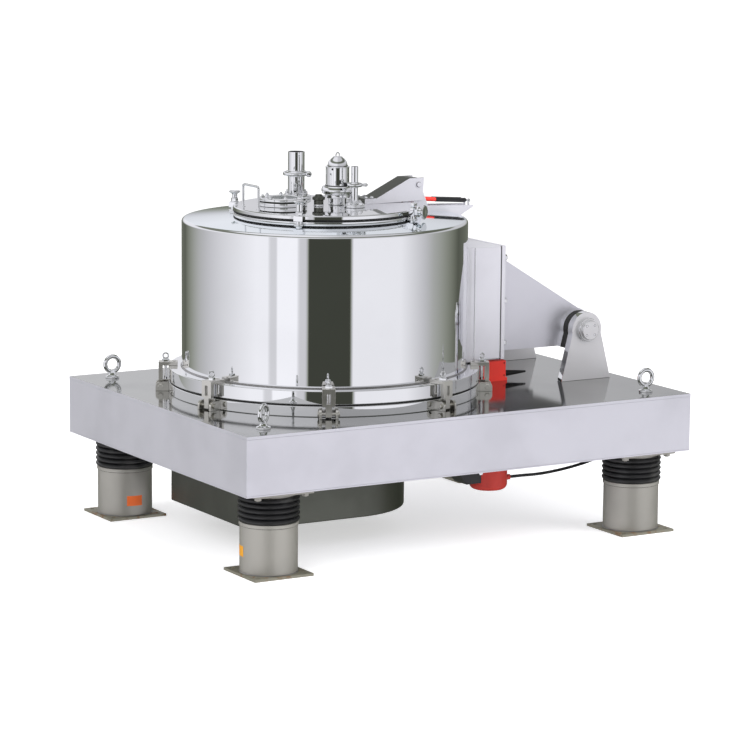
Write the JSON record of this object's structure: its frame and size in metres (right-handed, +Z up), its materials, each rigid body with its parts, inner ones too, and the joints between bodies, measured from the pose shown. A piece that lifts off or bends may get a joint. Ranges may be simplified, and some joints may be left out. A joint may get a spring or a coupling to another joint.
{
  "type": "top-opening basket centrifuge",
  "caption": "Stainless flat-plate basket centrifuge on sprung legs, with a hinged drum cover and a hinged feed lid on top.",
  "frame": {"origin": "on the floor below the middle of the platform", "axes": "+X from the drum towards the cover hinge, +Y towards the far long side, +Z up"},
  "size_m": [2, 1.52, 1.504],
  "materials": {
    "polished_steel": "mirror polished stainless steel",
    "satin_steel": "bead blasted stainless steel",
    "guard_steel": "plain stainless sheet",
    "bellows_rubber": "moulded rubber folds",
    "black_rubber": "matte rubber",
    "red_plastic": "moulded plastic",
    "black_plastic": "matte",
    "port_glass": "clear",
    "black_paint": "satin black",
    "red_paint": "satin red"
  },
  "bodies": {
    "base": {"platform_top": "polished_steel", "lifting_eyes": "polished_steel", "lower_ring": "polished_steel", "clamp_lugs": "polished_steel", "hinge_pin": "polished_steel", "platform_skirt": "satin_steel", "platform_floor": "satin_steel", "leg_left_front": "satin_steel", "leg_left_rear": "satin_steel", "leg_right_front": "satin_steel", "leg_right_rear": "satin_steel", "leg_caps": "satin_steel", "hinge_ears": "satin_steel", "basket": "satin_steel", "spindle": "satin_steel", "bellows_left_front": "bellows_rubber", "bellows_left_rear": "bellows_rubber", "bellows_right_front": "bellows_rubber", "bellows_right_rear": "bellows_rubber", "drive_guard": "guard_steel", "ring_gasket": "black_rubber", "hinge_seals": "black_rubber", "switch_boot": "black_rubber", "junction_cable": "black_rubber", "interlock_switch": "red_plastic", "junction_pot": "red_plastic", "junction_box": "black_plastic", "end_box": "black_plastic"},
    "cover": {"upper_ring": "polished_steel", "drum_shell": "polished_steel", "drum_top": "polished_steel", "hinge_box": "satin_steel", "hinge_box_gasket": "black_rubber", "hinge_box_flange": "satin_steel", "cover_arm": "satin_steel", "clamp_straps": "polished_steel", "clamp_screws": "polished_steel", "lid_bracket": "satin_steel"},
    "lid": {"feed_lid": "polished_steel", "lid_gasket": "black_rubber", "lid_knobs": "polished_steel", "lid_handle": "polished_steel", "sight_port": "polished_steel", "sight_glass": "port_glass", "feed_tube": "polished_steel", "inlet_tube": "polished_steel", "tube_clamps": "polished_steel", "spray_fitting": "polished_steel", "sight_lamp": "polished_steel", "lid_arm": "satin_steel"},
    "strut_barrels": {"strut_tubes": "black_paint", "strut_collars": "red_paint"},
    "strut_shafts": {"strut_rods": "satin_steel"}
  },
  "joints": [
    {"name": "cover_hinge", "type": "hinge", "parent": "base", "child": "cover", "pos_m": [0.816, 0, 0.764], "axis": [0, 1, 0], "range_deg": [0, 75]},
    {"name": "lid_hinge", "type": "hinge", "parent": "cover", "child": "lid", "pos_m": [0.158, 0, 1.362], "axis": [0, 1, 0], "range_deg": [0, 75]},
    {"name": "strut_tilt", "type": "hinge", "parent": "cover", "child": "strut_barrels", "pos_m": [0.414, 0, 1.283], "axis": [0, 1, 0], "range_deg": [0, 11.45]},
    {"name": "strut_slide", "type": "slide", "parent": "strut_barrels", "child": "strut_shafts", "axis": [-0.9975, 0, 0.0712], "range_m": [0, 0.0511]}
  ],
  "couplings": [
    {"joint": "strut_tilt", "follows": "lid_hinge", "ratio": 0.14861},
    {"joint": "strut_slide", "follows": "lid_hinge", "m_per_rad": 0.03828}
  ]
}
